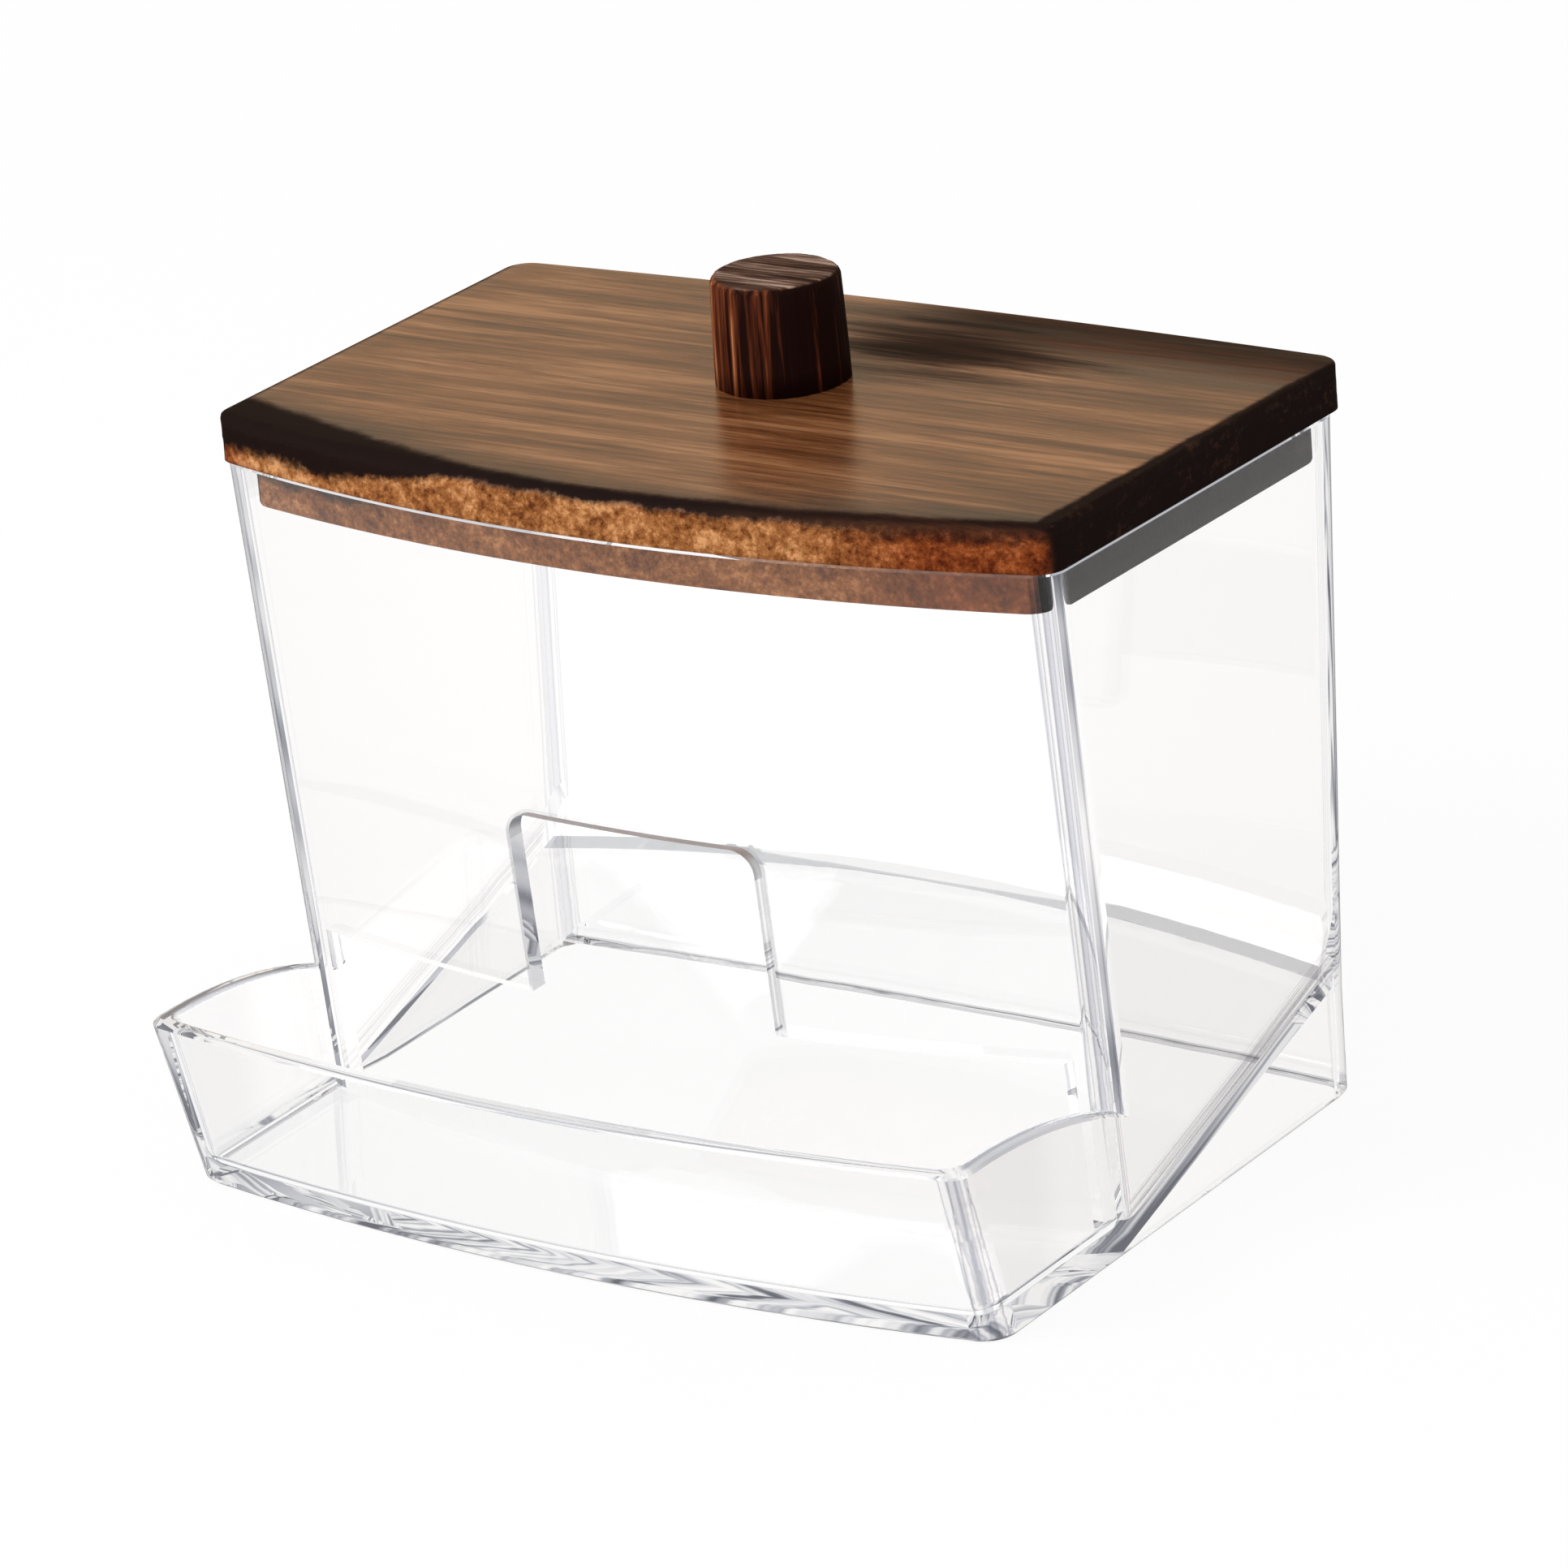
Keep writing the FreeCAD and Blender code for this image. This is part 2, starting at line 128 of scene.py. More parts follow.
# Painted shade: grey lines on the plastic's upright rounded corners.
PAINTED_CORNER_GREYS = [
    (0.60, WHITE),
    (0.65, (0.34, 0.35, 0.39)),
    (0.71, (0.66, 0.66, 0.69)),
    (0.76, (0.96, 0.94, 0.94)),
    (0.90, (0.93, 0.91, 0.91)),
    (0.94, (0.42, 0.43, 0.48)),
    (0.99, (0.72, 0.72, 0.76)),
]
# Painted shade: grey lines along the ramp's seams.
PAINTED_SEAM_GREYS = [
    (0.38, (0.34, 0.34, 0.36)),
    (0.48, (0.70, 0.69, 0.70)),
    (0.56, (1.0, 0.99, 0.99)),
]
# A painted glow of grey lines where a ray inside the plastic is cut off.
TRAPPED_GLOW_GREYS = [
    (0.36, (0.16, 0.165, 0.19)),
    (0.44, (0.42, 0.43, 0.47)),
    (0.51, (0.78, 0.78, 0.80)),
    (0.58, (0.98, 0.97, 0.96)),
]

# How bright the surroundings are: the floor to the camera, floor and world through the
# plastic where they are bright and where they are dim, the floor in a mirroring surface,
# and the world as a light on the object. The mirrored world is warm.
SHOWN, THROUGH, DIM, MIRRORED, AMBIENT = 1.03, 1.11, 0.35, 0.22, 0.6
WARM = (1.0, 0.76, 0.50)

# The floor, and how far from the box it stays bright through the plastic. These shares
# of it glow evenly; the rest is lit paint, which keeps the box's shadow.
FLOOR_HALF, FLOOR_Z = 3000.0, -0.1
BRIGHT_TO, DIM_FROM = 700.0, 1200.0
SHOWN_GLOW, THROUGH_GLOW = 0.90, 0.95

# The camera, fitted to the photograph: angles in degrees, lens in millimetres.
CAM_AZ, CAM_EL, CAM_ROLL = 35.066, 20.798, -4.790
CAM_DIST = 863.95 * MM
CAM_SHIFT = (1.932 * MM, -5.928 * MM)
CAM_LENS, CAM_SENSOR = 163.78, 36.0
CAM_TARGET = Vector((0, 8.25 * MM, 50 * MM))

# What both lamps point at, in metres.
LAMP_AIM = (0, 0, 0.05)


# ------------------------------------------------------------- node helpers
def new_material(name):
    mat = bpy.data.materials.new(name)
    mat.use_nodes = True
    tree = mat.node_tree
    tree.nodes.clear()
    out = tree.nodes.new("ShaderNodeOutputMaterial")
    bsdf = tree.nodes.new("ShaderNodeBsdfPrincipled")
    tree.links.new(bsdf.outputs["BSDF"], out.inputs["Surface"])
    return mat, tree, bsdf


def put(tree, socket, value):
    """Links a socket to value, or sets value on it if it is a plain one."""
    if isinstance(value, bpy.types.NodeSocket):
        tree.links.new(value, socket)
    else:
        socket.default_value = value


def rgba(colour):
    """A plain colour with its alpha, and a socket as it is."""
    return colour if isinstance(colour, bpy.types.NodeSocket) else (*colour, 1.0)


def coords(tree, scale=(1, 1, 1), offset=(0, 0, 0), turn=(0, 0, 0)):
    """Object coordinates in metres, stretched by scale, for a noise."""
    tex = tree.nodes.new("ShaderNodeTexCoord")
    mapping = tree.nodes.new("ShaderNodeMapping")
    mapping.inputs["Scale"].default_value = scale
    mapping.inputs["Location"].default_value = offset
    mapping.inputs["Rotation"].default_value = turn
    tree.links.new(tex.outputs["Object"], mapping.inputs["Vector"])
    return mapping.outputs["Vector"]


def flat_vector(tree, x, y):
    node = tree.nodes.new("ShaderNodeCombineXYZ")
    put(tree, node.inputs["X"], x)
    put(tree, node.inputs["Y"], y)
    return node.outputs["Vector"]


def noise(tree, vector, scale=1.0, detail=4.0, rough=0.55, distort=0.0):
    node = tree.nodes.new("ShaderNodeTexNoise")
    tree.links.new(vector, node.inputs["Vector"])
    node.inputs["Scale"].default_value = scale
    node.inputs["Detail"].default_value = detail
    node.inputs["Roughness"].default_value = rough
    node.inputs["Distortion"].default_value = distort
    return node.outputs["Fac"]


def math_node(tree, op, a, b=0.0):
    node = tree.nodes.new("ShaderNodeMath")
    node.operation = op
    put(tree, node.inputs[0], a)
    put(tree, node.inputs[1], b)
    return node.outputs[0]


def add(tree, a, b):
    return math_node(tree, "ADD", a, b)


def less(tree, a, b):
    return math_node(tree, "SUBTRACT", a, b)


def times(tree, a, *factors):
    for factor in factors:
        a = math_node(tree, "MULTIPLY", a, factor)
    return a


def size_of(tree, a):
    return math_node(tree, "ABSOLUTE", a)


def larger(tree, a, b):
    return math_node(tree, "MAXIMUM", a, b)


def below(tree, a, limit):
    """1 where a is under the limit and 0 elsewhere."""
    return math_node(tree, "LESS_THAN", a, limit)


def above(tree, a, limit):
    """1 where a is over the limit and 0 elsewhere."""
    return math_node(tree, "GREATER_THAN", a, limit)


def hypot(tree, a, b):
    return math_node(tree, "SQRT", add(tree, times(tree, a, a), times(tree, b, b)))


def pick(tree, choice, a, b):
    """b where choice is 1 and a where it is 0."""
    return add(tree, times(tree, choice, b), times(tree, less(tree, 1.0, choice), a))


def sway(tree, fac, amount):
    """A noise moved to swing about 0 and made amount times as strong."""
    return times(tree, add(tree, fac, -0.5), amount)


def span(tree, value, lo, hi, a=0.0, b=1.0, smooth=True):
    """Maps value from lo..hi to a..b, held at both ends."""
    node = tree.nodes.new("ShaderNodeMapRange")
    node.clamp = True
    node.interpolation_type = "SMOOTHSTEP" if smooth else "LINEAR"
    put(tree, node.inputs["Value"], value)
    put(tree, node.inputs["From Min"], lo)
    put(tree, node.inputs["From Max"], hi)
    node.inputs["To Min"].default_value = a
    node.inputs["To Max"].default_value = b
    return node.outputs["Result"]


def between(tree, value, rise, fall):
    """1 from the end of the stretch rise to the start of the stretch fall, and 0 outside them."""
    return times(tree, span(tree, value, *rise), span(tree, value, *fall, 1.0, 0.0))


def ramp(tree, fac, stops):
    node = tree.nodes.new("ShaderNodeValToRGB")
    put(tree, node.inputs["Fac"], fac)
    elements = node.color_ramp.elements
    while len(elements) < len(stops):
        elements.new(0.5)
    for element, (position, colour) in zip(elements, stops):
        element.position = position
        element.color = rgba(colour)
    return node.outputs["Color"]


def grey(v):
    return (v, v, v)


def blend(tree, fac, a, b, mode="MIX"):
    node = tree.nodes.new("ShaderNodeMix")
    node.data_type = "RGBA"
    node.blend_type = mode
    put(tree, node.inputs["Factor"], fac)
    put(tree, node.inputs["A"], rgba(a))
    put(tree, node.inputs["B"], rgba(b))
    return node.outputs["Result"]


def tinted(tree, fac, colour, tint):
    return blend(tree, fac, colour, tint, "MULTIPLY")


def bump(tree, bsdf, height, strength, distance):
    node = tree.nodes.new("ShaderNodeBump")
    node.inputs["Strength"].default_value = strength
    node.inputs["Distance"].default_value = distance
    tree.links.new(height, node.inputs["Height"])
    tree.links.new(node.outputs["Normal"], bsdf.inputs["Normal"])


def glow(tree, kind, strength, colour=WHITE):
    """An emitter or a world background."""
    node = tree.nodes.new(kind)
    put(tree, node.inputs["Color"], rgba(colour))
    put(tree, node.inputs["Strength"], strength)
    return node.outputs[0]


def choose(tree, fac, a, b):
    """The shader b where fac is 1 and a where it is 0."""
    mix = tree.nodes.new("ShaderNodeMixShader")
    put(tree, mix.inputs["Fac"], fac)
    tree.links.new(a, mix.inputs[1])
    tree.links.new(b, mix.inputs[2])
    return mix.outputs[0]


def light_path(tree, kind):
    return tree.nodes.new("ShaderNodeLightPath").outputs[kind]


def split(tree, kind):
    """The x, y and z of one of Blender's texture coordinates."""
    tex = tree.nodes.new("ShaderNodeTexCoord")
    parts = tree.nodes.new("ShaderNodeSeparateXYZ")
    tree.links.new(tex.outputs[kind], parts.inputs["Vector"])
    return parts.outputs["X"], parts.outputs["Y"], parts.outputs["Z"]


def place_in_mm(tree):
    return [times(tree, part, 1.0 / MM) for part in split(tree, "Object")]


def stored(tree, name):
    """A number that the piece's mesh stores at its points."""
    node = tree.nodes.new("ShaderNodeAttribute")
    node.attribute_name = name
    return node.outputs["Fac"]


class Spot:
    """Where a point of a surface lies, as sockets in millimetres."""

    def __init__(self, tree):
        self.x, self.y, self.z = place_in_mm(tree)
        # down from the lid's top, and inwards from the outline of its front and of its nearer side
        self.drop = less(tree, TOP_Z, self.z)
        across = size_of(tree, self.x)
        swing = hypot(tree, across, less(tree, FRONT_AXIS, self.y))
        self.from_front = less(tree, FRONT_AXIS - FRONT_Y + BOARD_GROW, swing)
        side = add(tree, times(tree, self.y, TAPER), HALF_WIDTH + BOARD_GROW)
        self.from_side = less(tree, side, across)


# ------------------------------------------------------------- clear plastic
def painted_corner_lines(tree, at, nx, ny):
    """Painted shade: grey lines painted on the upright rounded corners where their curve begins and
    turns, in place of their refraction.
    """
    turned = times(tree, size_of(tree, times(tree, nx, ny)), 2.0)
    lines = ramp(tree, turned, PAINTED_CORNER_GREYS)
    return blend(tree, span(tree, at.y, 20, 40, 0.0, 0.5), lines, WHITE)


def ramp_fold(tree, at, nz):
    """The bevel between the ramp and the facet behind it, up to BEVEL_TO_Z; it is painted dark grey as
    painted shade.
    """
    bevel = between(tree, nz, *BEVEL_UP)
    return times(tree, bevel, span(tree, at.z, BEVEL_TO_Z - 0.2, BEVEL_TO_Z, 1.0, 0.0))


def notch_faces(tree, at, ny):
    """The cut faces of the finger notch, which turn sideways or down; they are painted dark grey as
    painted shade.
    """
    faces = below(tree, size_of(tree, ny), 0.5)
    faces = times(tree, faces, below(tree, size_of(tree, at.x), NOTCH_HALF + 0.8))
    faces = times(tree, faces, below(tree, at.y, FRONT_WALL_TO_Y))
    return times(tree, faces, span(tree, at.z, NOTCH_FROM_Z - 2, NOTCH_FROM_Z + 1))


def painted_notch_line(tree, at):
    """A painted dark line round the finger notch, on both faces of the front wall, in place of its
    refraction.
    """
    east = add(tree, size_of(tree, at.x), NOTCH_R - NOTCH_HALF)
    north = add(tree, at.z, NOTCH_R - NOTCH_TOP)
    off = hypot(tree, larger(tree, east, 0.0), larger(tree, north, 0.0))
    off = add(tree, off, math_node(tree, "MINIMUM", larger(tree, east, north), 0.0))
    off = add(tree, off, -NOTCH_R)
    line = between(tree, off, (-0.1, 0.1), (0.3, 0.6))
    line = times(tree, line, span(tree, at.z, NOTCH_FROM_Z, NOTCH_FROM_Z + 2))
    line = times(tree, line, below(tree, at.y, FRONT_WALL_TO_Y))
    return times(tree, line, span(tree, at.z, NOTCH_TOP - 2.6, NOTCH_TOP - 0.6, 1.0, 0.45))


def ramp_height(tree, at):
    """The distance from the plane through the origin that slopes as the ramp does."""
    return less(tree, times(tree, at.z, RAMP_UP), times(tree, at.y, RAMP_BACK))


def painted_ramp_seam(tree, at, height, sideways):
    """Where, and in what greys, lines are painted along the ramp where it meets the side walls, as
    painted shade in place of refraction.
    """
    bottom = RAMP_TOP - RAMP_THICK
    seam = between(tree, height, (bottom - 0.3, bottom), (RAMP_TOP, RAMP_TOP + 0.3))
    seam = times(tree, seam, between(tree, at.y, (-14, -6), (38, 41)))
    seam = times(tree, seam, sideways)
    seam = times(tree, seam, span(tree, at.x, -10, 10, 0.4, 1.0))
    along = flat_vector(tree, height, times(tree, at.y, 0.009))
    return seam, ramp(tree, noise(tree, along, 2.2, 2.0, 0.6), PAINTED_SEAM_GREYS)


def painted_plastic_shade(tree, at, facing, height, notch):
    """Clear, with painted shade: greys at corners, folds, seams and cut faces, and darker at a slant.
    """
    nx, ny, nz = facing
    sideways = span(tree, size_of(tree, nx), 0.85, 0.95)
    # painted shade: the side walls a little grey, and grey lines at the corners
    colour = tinted(tree, sideways, painted_corner_lines(tree, at, nx, ny), (0.965, 0.955, 0.950))
    # painted shade: a dark line round the notch
    colour = tinted(tree, painted_notch_line(tree, at), colour, (0.48, 0.48, 0.50))
    # painted shade: the steeper facet behind the bevel greyed
    colour = blend(tree, times(tree, between(tree, nz, *FACET_UP), 0.8), colour, grey(0.90))
    # painted shade: the ramp's bevel and the notch's cut faces dark grey
    folds = larger(tree, ramp_fold(tree, at, nz), notch)
    colour = blend(tree, times(tree, folds, 0.9), colour, (0.42, 0.43, 0.46))
    # painted shade: grey lines along the ramp's seams
    seam, lines = painted_ramp_seam(tree, at, height, sideways)
    colour = tinted(tree, seam, colour, lines)
    # painted shade: the trough's side walls greyer towards the front
    trough_ends = times(tree, sideways, span(tree, at.y, -30, -22, 1.0, 0.0))
    colour = tinted(tree, times(tree, trough_ends, 0.5), colour, (0.86, 0.86, 0.87))
    # painted shade: darker where the surface is seen at a slant
    slant = tree.nodes.new("ShaderNodeLayerWeight")
    slant.inputs["Blend"].default_value = 0.5
    return tinted(tree, 1.0, ramp(tree, slant.outputs["Facing"], PAINTED_SLANT_SHADE), colour)


def painted_trapped_glow(tree, at, height):
    """A ray still inside after many turns ends on a painted glow of fine grey lines that run along the
    edges, in place of the plastic's refraction.

    They are laid across the nearest wall: a side wall, the ramp, the base under the
    trough, or else the front wall.
    """
    across_ramp = add(tree, height, times(tree, at.from_side, 0.12))
    in_ramp = times(tree, above(tree, at.y, TROUGH_TO_Y), below(tree, at.z, RAMP_ZONE_TOP))
    in_base = times(tree, below(tree, at.y, TROUGH_TO_Y), below(tree, at.z, BASE_ZONE_TOP))
    across = pick(tree, in_ramp, pick(tree, in_base, at.from_front, at.z), across_ramp)
    across = pick(tree, below(tree, at.from_side, SIDE_ZONE), across, at.from_side)
    lines = noise(tree, flat_vector(tree, across, times(tree, at.drop, 0.02)), 1.3, 2.0, 0.6)
    # paler in the trough's front, and at the foot of the back
    lines = add(tree, lines, span(tree, at.y, -40, -30, 0.07, 0.0))
    foot = times(tree, span(tree, at.y, 36, 42), span(tree, at.z, 4, 12, 1.0, 0.0))
    lines = add(tree, lines, times(tree, foot, 0.35))
    return glow(tree, "ShaderNodeEmission", 1.0, ramp(tree, lines, TRAPPED_GLOW_GREYS))


def clear_plastic():
    mat, tree, bsdf = new_material("clear_plastic")
    bsdf.inputs["Transmission Weight"].default_value = 1.0
    bsdf.inputs["IOR"].default_value = 1.49
    at = Spot(tree)
    facing = split(tree, "Normal")
    height = ramp_height(tree, at)
    notch = notch_faces(tree, at, facing[1])
    # the plastic's base colour carries the painted shade
    put(tree, bsdf.inputs["Base Color"], painted_plastic_shade(tree, at, facing, height, notch))

    # faint smears, and frosted upper faces of the notch, which else mirror the lid's wood
    frosted = times(tree, notch, 0.5, above(tree, at.z, NOTCH_TOP - 3.6))
    smear = noise(tree, coords(tree), 55.0, 3.0)
    put(tree, bsdf.inputs["Roughness"], add(tree, frosted, span(tree, smear, 0.35, 0.75, 0.0, 0.02)))
    flow = noise(tree, coords(tree, (1, 1, 0.35)), 42.0, 2.0, 0.4)
    bump(tree, bsdf, flow, 0.15, 0.4 * MM)

    # a ray still inside after many turns ends on the painted glow
    trapped = larger(tree,
                     above(tree, light_path(tree, "Ray Depth"), MOST_TURNS),
                     above(tree, light_path(tree, "Glossy Depth"), MOST_MIRRORINGS))
    shader = choose(tree, trapped, bsdf.outputs["BSDF"], painted_trapped_glow(tree, at, height))
    tree.links.new(shader, tree.nodes["Material Output"].inputs["Surface"])
    return mat


# --------------------------------------------------------------- burnt wood
def top_wood(tree, at, streaks, fine):
    """The top: grain along the width, lighter at the left and darker at the back."""
    cloud = noise(tree, coords(tree, (14, 30, 30), (0.3, 0, 0)), 1.0, 3.0, 0.5)
    lightness = add(tree, sway(tree, streaks, 1.45), TOP_LIGHTNESS)
    lightness = add(tree, lightness, sway(tree, cloud, 0.6))
    lightness = add(tree, lightness, sway(tree, fine, 0.5))
    lightness = add(tree, lightness, span(tree, at.x, -50, 60, 0.10, -0.05, False))
    lightness = add(tree, lightness, span(tree, at.y, 0, 45, 0.0, -0.10))
    pores = noise(tree, coords(tree, (55, 2100, 2100), turn=GRAIN_TURN), 1.0, 2.0)
    return blend(tree, span(tree, pores, 0.60, 0.70, 0.0, 0.5), ramp(tree, lightness, TOP_WOOD), CHAR)


def side_wood(tree, at, tone):
    """The sides: grainy caramel, redder towards both ends."""
    ends = add(tree, span(tree, at.x, 26, 46, 0.0, 0.8), span(tree, at.x, -58, -52, 0.7, 0.0))
    return tinted(tree, ends, ramp(tree, tone, EDGE_WOOD), (0.60, 0.26, 0.13))


def painted_knob_shadow(tree, at, streaks):
    """A painted shadow of the knob, cast behind it and to its right."""
    away = hypot(tree,
                 times(tree, add(tree, at.x, -PATCH_X), 1 / PATCH_WIDTH),
                 times(tree, add(tree, at.y, -PATCH_Y), 1 / PATCH_DEPTH))
    return span(tree, add(tree, away, sway(tree, streaks, 2.5)), 0.2, 1.4, 0.9, 0.0)


def scorched_rear(tree, at, streaks):
    """The back edge of the top is scorched from the knob to the right."""
    back = add(tree, at.y, sway(tree, streaks, 30))
    return times(tree, span(tree, back, 32, 48, 0.0, 0.85), span(tree, at.x, -10, 15))


def burnt_front(tree, at, ragged):
    """The ragged burnt band along the front edge and the soot behind it.

    The band runs far down the front at the left, and furthest back onto the top there.
    """
    over_edge = less(tree, at.from_front, at.drop)
    down = add(tree, span(tree, at.x, -44, -12, 3.9, 0.9), span(tree, at.x, 22, 45, 0.0, 1.2))
    reached = span(tree, add(tree, add(tree, over_edge, down), ragged), -0.9, 0.8)
    back = add(tree, span(tree, at.x, -60, 0, 6.2, 1.3), times(tree, ragged, 0.5))
    beyond = less(tree, over_edge, back)
    soot = times(tree, span(tree, beyond, -0.5, 8.0, 1.0, 0.0), span(tree, over_edge, -0.5, 1.0))
    return times(tree, reached, span(tree, beyond, -0.6, 1.6, 1.0, 0.0)), soot


def burnt_ends(tree, at, ragged):
    """The ends are burnt all over, and at the right the char wraps onto the top."""
    wrap = span(tree, at.y, -26, 45, 2.0, 0.1, False)
    wrap = add(tree, wrap, times(tree, ragged, 0.25))
    wrap = times(tree, wrap, above(tree, at.x, 0.0))
    wrap = times(tree, wrap, span(tree, at.drop, 0.0, 1.0, 1.0, 0.0))
    over = less(tree, at.from_side, add(tree, wrap, 0.8))
    return span(tree, over, -0.6, 0.5, 1.0, 0.0)


def burnt_wood():
    mat, tree, bsdf = new_material("burnt_wood")
    at = Spot(tree)
    streaks = noise(tree, coords(tree, (13, 230, 230), turn=GRAIN_TURN), 1.0, 7.0, 0.74, 0.3)
    fine = noise(tree, coords(tree, (60, 1100, 1100), turn=GRAIN_TURN), 1.0, 5.0, 0.68)
    coarse = noise(tree, coords(tree, (160, 160, 260)), 1.0, 6.0, 0.66, 0.4)
    speckle = noise(tree, coords(tree), 1000.0, 4.0, 0.75)
    ragged = sway(tree, noise(tree, coords(tree, (140, 140, 140)), 1.0, 6.0, 0.76), 6.0)
    tone = add(tree, coarse, sway(tree, speckle, 1.1))
    colour = blend(tree, span(tree, at.drop, 0.3, 1.2),
                   top_wood(tree, at, streaks, fine), side_wood(tree, at, tone))

    patch = painted_knob_shadow(tree, at, streaks)
    rear = scorched_rear(tree, at, streaks)
    band, soot = burnt_front(tree, at, ragged)
    ends = burnt_ends(tree, at, ragged)
    # painted shadow of the knob
    colour = tinted(tree, patch, colour, (0.25, 0.22, 0.22))
    colour = tinted(tree, rear, colour, (0.32, 0.24, 0.25))
    colour = tinted(tree, soot, colour, (0.24, 0.17, 0.15))
    colour = blend(tree, times(tree, band, span(tree, at.x, 10, 50, 1.0, 0.75)), colour, CHAR)
    brown = blend(tree, span(tree, tone, 0.55, 0.85, 0.0, 0.4), CHAR, (0.09, 0.035, 0.018))
    colour = blend(tree, ends, colour, brown)
    behind = times(tree, span(tree, at.drop, 0.5, 1.5), span(tree, at.y, 35, 44))
    colour = blend(tree, behind, colour, brown)

    # the plug is burnt on its ends; between them it is painted paler, as painted light, since little
    # light reaches it
    in_plug = span(tree, at.drop, TOP_Z - RIM_Z - 0.1, TOP_Z - RIM_Z + 0.1)
    plug_ends = times(tree, in_plug, span(tree, at.from_side, 4.0, 5.5, 1.0, 0.0))
    pale = times(tree, in_plug, span(tree, at.from_side, 4.0, 5.5))
    colour = blend(tree, plug_ends, colour, brown)
    # painted light on the plug's middle: a warmer colour, then paler
    colour = blend(tree, times(tree, pale, 0.2), colour, (0.36, 0.18, 0.07))
    colour = tinted(tree, pale, colour, (1.35, 1.25, 1.2))
    put(tree, bsdf.inputs["Base Color"], colour)

    # the top is lacquered, and the sides, all that is charred and the painted knob shadow are dull
    charred_and_shaded = times(tree, larger(tree, larger(tree, band, ends), patch), 0.95)
    charred_and_shaded = larger(tree, charred_and_shaded, times(tree, rear, 0.9))
    dull = larger(tree, span(tree, at.drop, 0.2, 1.6), charred_and_shaded)
    put(tree, bsdf.inputs["Roughness"], span(tree, dull, 0.0, 1.0, 0.20, 0.75, False))
    put(tree, bsdf.inputs["Specular IOR Level"], span(tree, dull, 0.0, 1.0, 0.42, 0.06, False))
    grit = times(tree, speckle, span(tree, at.drop, 0.1, 1.6, 0.08, 1.0))
    bump(tree, bsdf, add(tree, times(tree, fine, 0.3), grit), 0.6, 0.3 * MM)
    return mat


# ----------------------------------------------------------- knob and screw
def knob_wood():
    """Dark wood with upright grain on the flank, painted lighter at the lit left and darker at the
    shaded right, and paler end grain.
    """
    mat, tree, bsdf = new_material("knob_wood")
    x = place_in_mm(tree)[0]
    streaks = noise(tree, coords(tree, (850, 850, 22)), 1.0, 4.0, 0.6, 0.2)
    fine = noise(tree, coords(tree, (1600, 1600, 60)), 1.0, 3.0, 0.6)
    tone = add(tree, streaks, sway(tree, fine, 0.3))
    # painted light and shade: the flank lighter on the lit left, darker on the shaded right
    tone = add(tree, tone, span(tree, x, -8, 7, 0.12, -0.22, False))
    end_grain = noise(tree, coords(tree, (60, 900, 60), turn=FACE_TURN), 1.0, 3.0, 0.6)
    on_top = span(tree, stored(tree, "crest"), -0.3, 0.3)
    colour = blend(tree, on_top, ramp(tree, tone, KNOB_FLANK), ramp(tree, end_grain, KNOB_FACE))
    put(tree, bsdf.inputs["Base Color"], colour)
    bsdf.inputs["Roughness"].default_value = 0.7
    bsdf.inputs["Specular IOR Level"].default_value = 0.08
    bump(tree, bsdf, add(tree, streaks, times(tree, fine, 0.5)), 0.6, 0.35 * MM)
    return mat


def screw_steel():
    mat, tree, bsdf = new_material("screw_steel")
    bsdf.inputs["Metallic"].default_value = 1.0
    mottle = noise(tree, coords(tree), 900.0, 3.0)
    put(tree, bsdf.inputs["Base Color"], ramp(tree, mottle, [(0.3, grey(0.42)), (0.7, grey(0.62))]))
    put(tree, bsdf.inputs["Roughness"], span(tree, mottle, 0.3, 0.7, 0.22, 0.42))
    return mat


# ------------------------------------------------------------------ lid plan
def corner_centre(axis, reach, half):
    """Centre of a corner arc: on the side line moved in, at reach from the axis."""
    a = 1.0 + TAPER ** 2
    b = half * TAPER - axis
    c = half ** 2 + axis ** 2 - reach ** 2
    y = (-b - math.copysign(math.sqrt(b ** 2 - a * c), axis)) / a
    return half + TAPER * y, y


def arc(centre, radius, start, end, step):
    """Points (place, outward direction) of an arc without its end; angle 0 is the front."""
    count = max(int(abs(end - start) * radius / step), FEWEST_STEPS)
    turns = [start + (end - start) * k / count for k in range(count)]
    ways = [Vector((math.sin(t), -math.cos(t))) for t in turns]
    return [(Vector(centre) + way * radius, way) for way in ways]


def plan(front_y, front_axis, grow, corner, step):
    """Points (place, outward direction) round the lid's plan, from the middle of the front."""
    half = HALF_WIDTH + (grow - corner) * math.hypot(1.0, TAPER)
    front_r = front_axis - front_y + grow
    back_r = BACK_Y - BACK_AXIS + grow
    front_corner = corner_centre(front_axis, front_r - corner, half)
    back_corner = corner_centre(BACK_AXIS, back_r - corner, half)
    front_end = math.atan2(front_corner[0], front_axis - front_corner[1])
    back_end = math.pi - math.atan2(back_corner[0], back_corner[1] - BACK_AXIS)
    side_turn = math.atan2(1.0, TAPER)
    out = Vector((math.sin(side_turn), -math.cos(side_turn)))
    start = Vector(front_corner) + out * corner
    end = Vector(back_corner) + out * corner
    count = int((end - start).length / step)

    points = arc((0, front_axis), front_r, 0.0, front_end, step)
    points += arc(front_corner, corner, front_end, side_turn, step)
    points += [(start.lerp(end, k / count), out) for k in range(count)]
    points += arc(back_corner, corner, side_turn, back_end, step)
    points += arc((0, BACK_AXIS), back_r, back_end, math.pi, step)
    last = (Vector((0, BACK_AXIS + back_r)), Vector((0, 1)))
    mirrored = [(Vector((-p.x, p.y)), Vector((-w.x, w.y))) for p, w in reversed(points[1:])]
    return points + [last] + mirrored


# -------------------------------------------------------------------- meshes
def smooth(t):
    t = min(max(t, 0.0), 1.0)
    return t * t * (3.0 - 2.0 * t)


